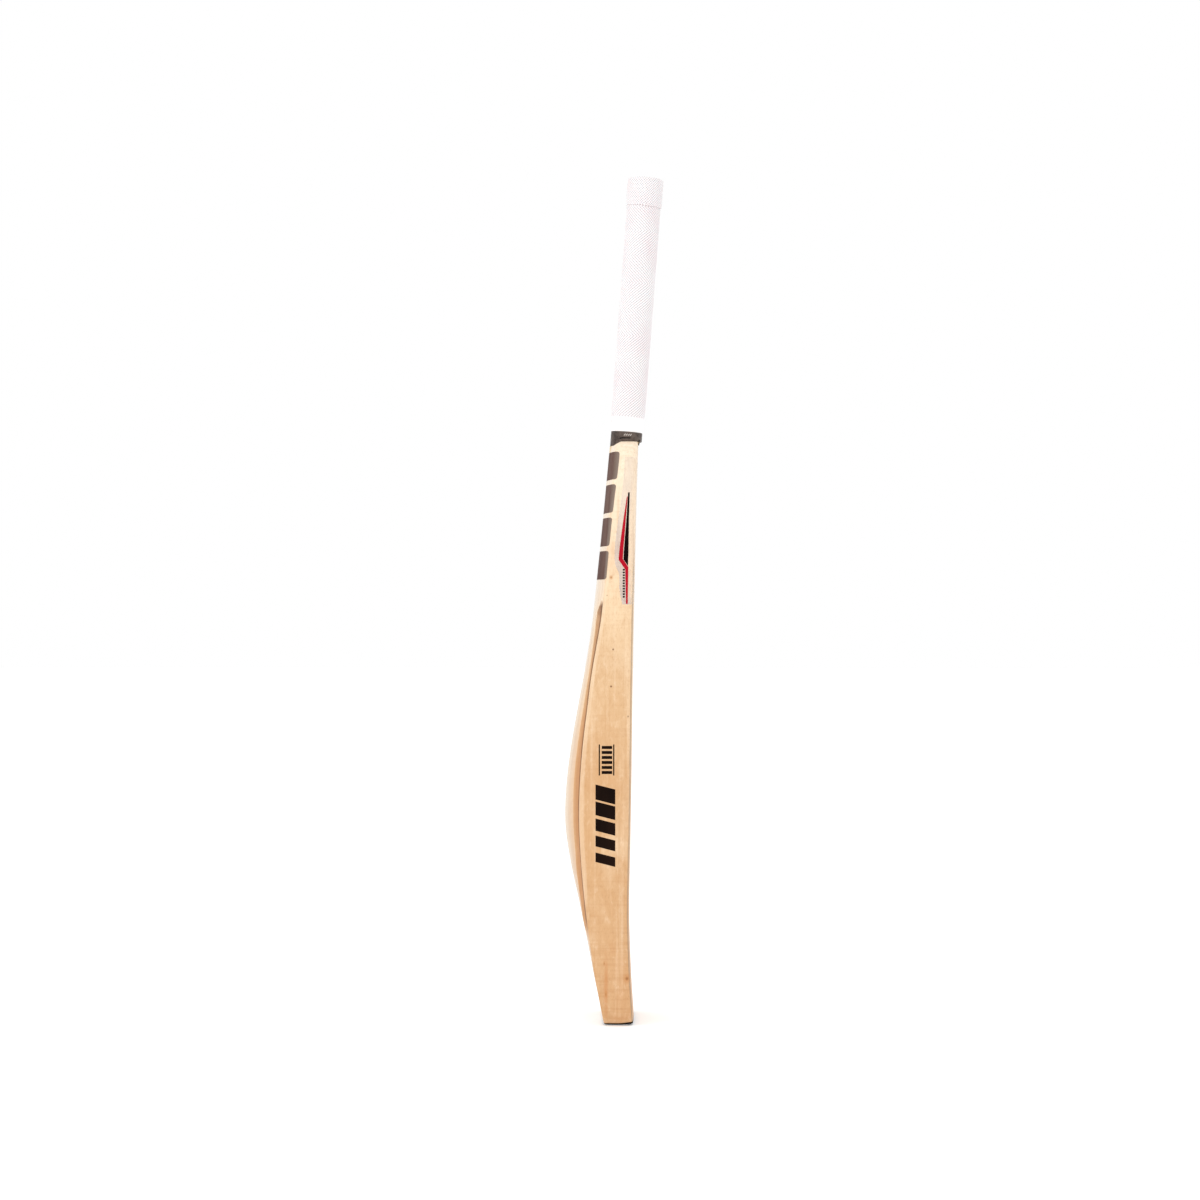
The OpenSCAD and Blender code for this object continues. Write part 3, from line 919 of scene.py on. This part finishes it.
def build_film():
    low, high = FILM_EDGE[0][0], FILM_EDGE[-1][0]
    heights = [low + (high - low) * k / 74 for k in range(75)]

    def side_y(z):
        return smooth_at(FILM_EDGE, z)
    film = wrapped("film", heights, side_y, FILM_T, False, 96, "haze", HAZE_W)
    return dress(film, "clear_film", "shoulder_film")


def patch_grid(sign, left, right, lift, across, along):
    """A grid on one edge of the blade between two lines of (depth, height) points."""
    grid = []
    for k in range(len(left) - 1):
        steps = along if k < len(left) - 2 else along + 1
        for i in range(steps):
            start = between(left[k], left[k + 1], i / along)
            end = between(right[k], right[k + 1], i / along)
            row = [between(start, end, j / across) for j in range(across + 1)]
            grid.append([(sign * side_x(z, y, lift), y, z) for y, z in row])
    return grid


def side_print(name, side, shapes, slot, node, across=6, along=8, t=PRINT_T):
    """Thin printed shapes on one edge, each given by its two long sides."""
    sign = -1 if side == "left" else 1
    solids = [[patch_grid(sign, left, right, lift, across, along) for lift in (t, -SINK)]
              for left, right in shapes]
    piece = shell(f"{name}_{side}", solids)
    return dress(piece, slot, *([f"{node}_{side}"] if node else []))


# Each flash is its two long sides, as (depth, height).
DART = ([(-10.6, 534), (-9.1, 509.5), (-6.2, 474), (-6, 467)],
        [(-12.2, 534), (-11.4, 509.5), (-10.9, 474), (-10.4, 460.5)])
BORDER = ([(-9.4, 530), (-6.2, 509), (-3.8, 492), (-2, 478), (-1.2, 469), (-1.2, 466.5), (-7.7, 457)],
          [(-10.1, 530), (-8.3, 509), (-6.9, 490), (-5.9, 478), (-5.4, 471), (-5.3, 467.5), (-10.8, 459.2)])
TAIL = ([(-7.7, 457), (-8.5, 422.5)], [(-10.8, 459.2), (-10.1, 422.5)])
# On each edge: slanted bars that thin towards the toe, small blocks between two lines, and a row of dots.
BARS, BAR_Z, BAR_PITCH, BAR_SLANT, BAR_T, BAR_THINNING = 5, 237.0, 17.0, 5.0, 15.0, 1.4
BAR_Y = (2.3, 22)
LINE_Z, LINE_Y, LINE_T = (251, 282), (3.2, 17.6), 1.2
SMALL_BLOCKS, SMALL_Y, SMALL_T, SMALL_LOW, SMALL_PITCH = 6, (5.4, 15.8), 3.0, 252.5, 5.0
TICKS, TICK_Y, TICK_T, TICK_LOW, TICK_PITCH = 11, (-7.3, -5.2), 1.6, 428.8, 2.7


def bar(y, z0, z1, rise=0.0):
    return [(y[0], z0), (y[0], z1)], [(y[1], z0 + rise), (y[1], z1 + rise)]


def column(count, y, height, low, pitch):
    return [bar(y, low + pitch * k, low + pitch * k + height) for k in range(count)]


def build_side_trim(side):
    side_print("dart", side, [DART], "black_print", "flash_dart", along=14, t=FLASH_T)
    side_print("stripe", side, [BORDER, TAIL], "red_print", "flash_stripe", t=FLASH_T)
    bars = []
    for i in range(BARS):
        top = BAR_Z - BAR_PITCH * i
        bars.append(bar(BAR_Y, top - BAR_T + BAR_THINNING * i, top, BAR_SLANT))
    side_print("bars", side, bars, "edge_ink", "edge_bars", across=10, along=6)
    lines = [bar((y, y + LINE_T), *LINE_Z) for y in LINE_Y]
    lines += column(SMALL_BLOCKS, SMALL_Y, SMALL_T, SMALL_LOW, SMALL_PITCH)
    side_print("lines", side, lines, "edge_ink", "edge_lines")
    ticks = column(TICKS, TICK_Y, TICK_T, TICK_LOW, TICK_PITCH)
    side_print("ticks", side, ticks, "edge_ink", None, across=2, along=2)


# ---- handle: binding and grip
LEAN = math.radians(4.3)
HANDLE_Y = -8.5
GRIP_R, CUFF_R, BAND_R = 17.4, 18.4, 16.1
BINDING_R, BINDING_H = 16.1, 10.2
CANE_R, TWINE_T = 14.5, 0.7
CUFF_H = 28.0
BAT_LENGTH = 857.0
HANDLE_LEN = (BAT_LENGTH - SHOULDER_Z) / math.cos(LEAN) - CUFF_R * math.tan(LEAN)
CUFF_Z = HANDLE_LEN - CUFF_H


def on_handle(x, y, z):
    """From the leaning handle's own frame to the bat's."""
    return (x, HANDLE_Y + y * math.cos(LEAN) - z * math.sin(LEAN),
            SHOULDER_Z + y * math.sin(LEAN) + z * math.cos(LEAN))


# How far the cuff's seam reaches below the cuff, and how far from it its waver reaches.
SEAM_BELOW, WAVER_REACH = 1.8, 9.0
# Grip rows stand this far apart, and its plain outside this far inside the CAD's.
ROW_STEP, GRIP_INSET = 0.5, 0.05
CUFF_ROUND = 3.0
# The lip round the hole in the grip's top: the hole's radius and the lip's rounding.
LIP_R, LIP_ROUND = 8.0, 0.9
ZONE_LOW, ZONE_H = 26.0, 27.0
RIBS_ROUND, RIB_PITCH = 34, 2.9
KNURL_ROUND, KNURL_PITCH = 42, 2.7
RIB_DEPTH, KNURL_DEPTH = 0.5, 0.42


def herringbone(angle, z):
    """Groove depth from 0 to 1, slanting the other way in the next zone."""
    zone = (z - ZONE_LOW) / ZONE_H
    flip = -1 if math.floor(zone) % 2 == 0 else 1
    turn = 2 * math.pi * z / RIB_PITCH
    main = 0.5 + 0.5 * math.cos(RIBS_ROUND * angle + flip * turn)
    cross = 0.5 + 0.5 * math.cos(RIBS_ROUND * angle - flip * turn)
    return main ** 2.2 * (0.45 + 0.55 * cross)


def knurl(angle, z):
    """Groove depth from 0 to 1, in staggered rows of small pits."""
    a = math.cos(KNURL_ROUND * angle)
    b = math.cos(2 * math.pi * z / KNURL_PITCH)
    return clamp(0.5 + 0.5 * a * b * 1.3) ** 3


def cuff_seam(angle):
    """The cuff's lower edge wavers a little round the handle."""
    return 0.7 * math.sin(angle + 0.6) + 0.3 * math.sin(7 * angle)


def seam_stitch(angle, _):
    """Groove depth from 0 to 1 along the cuff's seam, pinched at short intervals."""
    return 0.5 + 0.5 * math.sin(47 * angle + 4 * math.sin(3 * angle))


def sleeve_rows():
    """The ribbed sleeve, thin where it meets the binding."""
    rows = [(BINDING_H, BAND_R - 0.5, None, 0), (BINDING_H + 0.3, BAND_R - 0.1, None, 0),
            (BINDING_H + 0.8, BAND_R, None, 0)]
    z = BINDING_H + 1.6
    while z < CUFF_Z - SEAM_BELOW:
        rise = ease(z, BINDING_H + 10, BINDING_H + 20)
        radius = BAND_R + (GRIP_R - GRIP_INSET - BAND_R) * rise
        rows.append((z, radius, herringbone, RIB_DEPTH * ease(z, ZONE_LOW - 2, ZONE_LOW + 1)))
        z += ROW_STEP
    return rows


def seam_rows():
    """The step out to the cuff, with a stitched dent along its foot."""
    rows, steps = [], 11
    for step in range(steps + 1):
        u = step / steps
        dent = math.exp(-((u - 0.42) / 0.22) ** 2)
        height = CUFF_Z - SEAM_BELOW + 0.2 + (SEAM_BELOW - 0.2) * u
        radius = GRIP_R - GRIP_INSET + (CUFF_R - GRIP_R) * ease(u, 0.45, 0.75) - 0.2 * dent
        rows.append((height, radius, seam_stitch, 0.08 + 0.26 * dent))
    return rows


def cuff_rows():
    """The pitted cuff, and its rounded top edge, where the pits fade out."""
    rows = []
    z = CUFF_Z + 0.3
    while z < HANDLE_LEN - CUFF_ROUND:
        rows.append((z, CUFF_R - GRIP_INSET, knurl, KNURL_DEPTH))
        z += ROW_STEP
    top_z, top_r = HANDLE_LEN - CUFF_ROUND, CUFF_R - GRIP_INSET - CUFF_ROUND
    for r, height in arc(top_r, top_z, CUFF_ROUND, 0, 90, 9):
        rows.append((height, r, knurl, KNURL_DEPTH * (0.02 + 0.8 * (r - top_r) / CUFF_ROUND)))
    return rows


def lip_rows():
    """The dished top, the lip that turns down into the hole, then the bore back down the handle."""
    top_r, lip_top_r, bore_r = CUFF_R - CUFF_ROUND, LIP_R + LIP_ROUND, CANE_R + TWINE_T
    rows = [(HANDLE_LEN - 0.3 * (k / 6) ** 2, top_r + (lip_top_r - top_r) * k / 6) for k in range(1, 7)]
    for degrees in range(75, 271, 28):
        turn = math.radians(degrees)
        rows.append((HANDLE_LEN - 1.35 + 1.05 * math.sin(turn), lip_top_r + LIP_ROUND * math.cos(turn)))
    rows += [(HANDLE_LEN - 2.95, CANE_R), (HANDLE_LEN - 3.0, bore_r)]
    rows += [(HANDLE_LEN - 40, bore_r), (BINDING_H, bore_r)]
    return [(z, r, None, 0) for z, r in rows]


def grip_rows():
    """(height, radius, pattern, depth) up the grip, over its top and back down, in the handle's frame."""
    return sleeve_rows() + seam_rows() + cuff_rows() + lip_rows()


def near_seam(z, r):
    """How much of the seam's waver a row takes."""
    if r <= BAND_R + 0.3:
        return 0.0
    below = ease(z, CUFF_Z - WAVER_REACH, CUFF_Z - 1)
    return below * ease(z, CUFF_Z + WAVER_REACH, CUFF_Z + 1)


def build_grip():
    segments = 272
    rows = grip_rows()
    verts, groove = [], []
    for z, r, pattern, depth in rows:
        waver = near_seam(z, r)
        for j in range(segments):
            angle = 2 * math.pi * j / segments
            pit = pattern(angle, z) if depth > 0 else 0.0
            radius = r - depth * pit
            height = z + cuff_seam(angle) * waver
            verts.append(on_handle(radius * math.cos(angle), radius * math.sin(angle), height))
            # Groove depth share, for the painted shade in the grooves.
            groove.append(pit * clamp(depth / 0.3))
    grip = new_object("grip", verts, tube_faces(len(rows), segments))
    give_shares(grip, "groove", groove)
    outward(grip)
    smoothed(grip, 70)
    return dress(grip, "grip_rubber", "rubber_grip")


STRAND_R = 0.56
# The groove is a gap in two turns that opens on each side of the neck, between these angles about its middle.
TURNS, GROOVE_TURNS, GROOVE_OPEN = 13, (4, 5), (-0.45, 0.28)


def strand(points, radius, sides, closed):
    """A tube along points in mm: its vertices, its faces, and how far out each vertex lies."""
    verts, outer = [], []
    n = len(points)
    for i, p in enumerate(points):
        ahead = Vector(points[(i + 1) % n] if closed else points[min(i + 1, n - 1)])
        behind = Vector(points[i - 1] if closed or i > 0 else points[0])
        along = (ahead - behind).normalized()
        out = (Vector(p) - Vector(on_handle(0, 0, 0))).cross(along).cross(along).normalized() * -1
        side = along.cross(out)
        for k in range(sides):
            turn = 2 * math.pi * k / sides
            verts.append(Vector(p) + (out * math.cos(turn) + side * math.sin(turn)) * radius)
            # Share that faces outwards, for the twine's painted shade on the inward side.
            outer.append(clamp(0.5 + 0.6 * math.cos(turn)))
    if closed:
        faces = tube_faces(n, sides)
    else:
        faces = loft_faces(n, sides) + [tuple(range(sides)), tuple((n - 1) * sides + k for k in range(sides))]
    return [tuple(v) for v in verts], faces, outer


def on_binding(angle, share, radius):
    """A point on the exposed binding: share runs from the shoulders, 0, to the grip, 1."""
    x, y, _ = on_handle(radius * math.cos(angle), radius * math.sin(angle), 0)
    low = shoulder_line(y) + STRAND_R
    high = on_handle(0, radius * math.sin(angle), BINDING_H - STRAND_R)[2]
    z = low + (high - low) * share
    return x, y - (z - SHOULDER_Z) * math.tan(LEAN), z


def turn_of_twine(share, start, end, count):
    closed = end - start >= 2 * math.pi
    steps = count if closed else count + 1
    angles = [start + (end - start) * j / count for j in range(steps)]
    points = [on_binding(angle, share, BINDING_R - STRAND_R) for angle in angles]
    return strand(points, STRAND_R, 10, closed)


def joined(name, parts, finish, *nodes):
    """One piece of the twine's slot from several (vertices, faces, outer) parts."""
    piece = new_object(name, *merged([part[:2] for part in parts]))
    give_shares(piece, "outer", [share for part in parts for share in part[2]])
    outward(piece)
    smoothed(piece, 50)
    return dress(piece, "twine", *nodes, finish=finish)


def binding_core(segments):
    """What the turns lie on, with a thin sleeve that runs up inside the grip."""
    exposed_r, inner_r, outer_r = BINDING_R - 0.9, CANE_R + 0.02, CANE_R + TWINE_T - 0.02
    core = [(-6, inner_r), (-6, exposed_r), (BINDING_H - 0.9, exposed_r), (BINDING_H, outer_r),
            (HANDLE_LEN - 4, outer_r), (HANDLE_LEN - 4, inner_r)]
    verts = []
    for z, r in core:
        for j in range(segments):
            angle = 2 * math.pi * j / segments
            x, y, height = on_handle(r * math.cos(angle), r * math.sin(angle), z)
            verts.append((x, y, shoulder_line(y) + 0.03 if z < 0 else height))
    # Its outward shares are all 0, so the core takes the twine's near-black painted shade colour all over.
    return verts, tube_faces(len(core), segments), [0.0] * len(verts)


def build_binding():
    """Waxed twine wound turn on turn over a plain core, which also runs up inside the grip."""
    parts = [binding_core(120)]
    for k in range(TURNS + 1):
        if k not in GROOVE_TURNS:
            parts.append(turn_of_twine(k / TURNS, 0, 2 * math.pi, 120))
            continue
        parts.append(turn_of_twine(k / TURNS, -GROOVE_OPEN[0], math.pi + GROOVE_OPEN[0], 50))
        parts.append(turn_of_twine(k / TURNS, math.pi + GROOVE_OPEN[1], 2 * math.pi - GROOVE_OPEN[1], 60))
    return joined("binding", parts, "twine", "twine_binding")


STITCHES, STITCH_PITCH, STITCH_LEAN, STITCH_R = 4, 0.13, 0.09, 0.4
# Where the first stitch starts, as an angle and a share of the binding's height, and how far up each runs.
STITCH_FROM, STITCH_LOW, STITCH_RISE = 0.16, 0.6, 0.22


def build_stitches():
    """Four short slanting threads on each side of the neck."""
    parts = []
    for side in (-1, 1):
        for k in range(STITCHES):
            start = STITCH_FROM - STITCH_PITCH * k
            run = []
            for i in range(7):
                share = STITCH_LOW + STITCH_RISE * i / 6
                x, y, z = on_binding(start - STITCH_LEAN * i / 6, share, BINDING_R - 0.22)
                run.append((side * x, y, z))
            parts.append(strand(run, STITCH_R, 8, False))
    return joined("binding_stitches", parts, "thread")


# The loose end of twine on the left shoulder, as (x, y, z).
LOOSE_FROM, LOOSE_TO, LOOSE_R = (-9.9, -22.3, 589), (-9.15, -21.2, 583.5), 0.65


def build_loose_end():
    verts, faces, outer = strand([between(LOOSE_FROM, LOOSE_TO, i / 5) for i in range(6)], LOOSE_R, 8, False)
    return joined("binding_loose_end", [(verts, faces, [0.1 * share for share in outer])], "twine")


def dress_cad_pieces():
    """Materials for the CAD pieces whose shape stays."""
    for obj in bpy.data.objects:
        if obj.name.startswith(("cane_strip_", "rubber_spring_")):
            slot = "cane" if obj.name.startswith("cane") else "spring_rubber"
            obj.data.materials.clear()
            obj.data.materials.append(MATERIALS[slot])


build_blade()
build_toe_guard()
build_back_blocks()
build_film()
for side in ("left", "right"):
    build_side_trim(side)
build_grip()
build_binding()
build_stitches()
build_loose_end()
dress_cad_pieces()


# ---- camera, light and floor
def aim(obj, target):
    obj.rotation_euler = (Vector(target) - obj.location).to_track_quat("-Z", "Y").to_euler()


CAMERA_DISTANCE, CAMERA_TURN, SENSOR_W = 2.75, 270.5, 36
# What the picture's width shows at the target's distance.
VIEW_W = 1.2234


def add_camera():
    target = Vector((0, 0.018, 0.4264))
    azimuth = math.radians(CAMERA_TURN)
    data = bpy.data.cameras.new("camera")
    data.sensor_width = SENSOR_W
    data.lens = SENSOR_W * CAMERA_DISTANCE / VIEW_W
    data.clip_end = 50
    camera = bpy.data.objects.new("camera", data)
    camera.location = target + CAMERA_DISTANCE * Vector((math.sin(azimuth), -math.cos(azimuth), 0))
    aim(camera, target)
    to_scene(camera)
    bpy.context.scene.camera = camera


def add_light(name, kind, place, target, energy):
    data = bpy.data.lights.new(name, kind)
    data.energy = energy
    light = bpy.data.objects.new(name, data)
    light.location = place
    aim(light, target)
    to_scene(light)
    return data


def add_area(name, place, target, size, power):
    data = add_light(name, "AREA", place, target, power)
    data.shape = "RECTANGLE"
    data.size, data.size_y = size


def add_sun(name, direction, strength, spread_deg):
    data = add_light(name, "SUN", Vector(direction) * -3, (0, 0, 0), strength)
    data.angle = math.radians(spread_deg)


FLOOR_HALF_W, FLOOR_GLOW = 14.0, 0.16


def add_floor():
    w = FLOOR_HALF_W
    mesh = bpy.data.meshes.new("studio_floor")
    mesh.from_pydata([(-w, -w, 0), (w, -w, 0), (w, w, 0), (-w, w, 0)], [], [(0, 1, 2, 3)])
    floor = bpy.data.objects.new("studio_floor", mesh)
    to_scene(floor)
    n = Nodes("studio_floor", roughness=0.9, specular=0.1)
    cloud = n.noise(n.scaled(1.5, 1.5, 1.5), detail=2)
    n.shader.inputs["Emission Color"].default_value = (1, 1, 1, 1)
    n.shader.inputs["Emission Strength"].default_value = FLOOR_GLOW
    mesh.materials.append(n.finish(n.mix(cloud, (0.92, 0.92, 0.92, 1), (0.94, 0.94, 0.94, 1))))


def add_world():
    world = bpy.data.worlds.new("studio")
    world.use_nodes = True
    background = world.node_tree.nodes["Background"]
    background.inputs["Color"].default_value = (1.0, 1.0, 1.0, 1)
    background.inputs["Strength"].default_value = 1.0
    bpy.context.scene.world = world
    bpy.context.scene.view_settings.view_transform = "Standard"


add_camera()
add_floor()
add_world()
add_sun("overhead", (0.05, 0.1, -1), 0.35, 70)
centre = (0, 0, 0.43)
add_area("key", (-1.6, 2.2, 1.3), centre, (1.2, 1.6), 13)
add_area("fill", (-2.4, -0.6, 0.9), centre, (1.6, 1.8), 5)
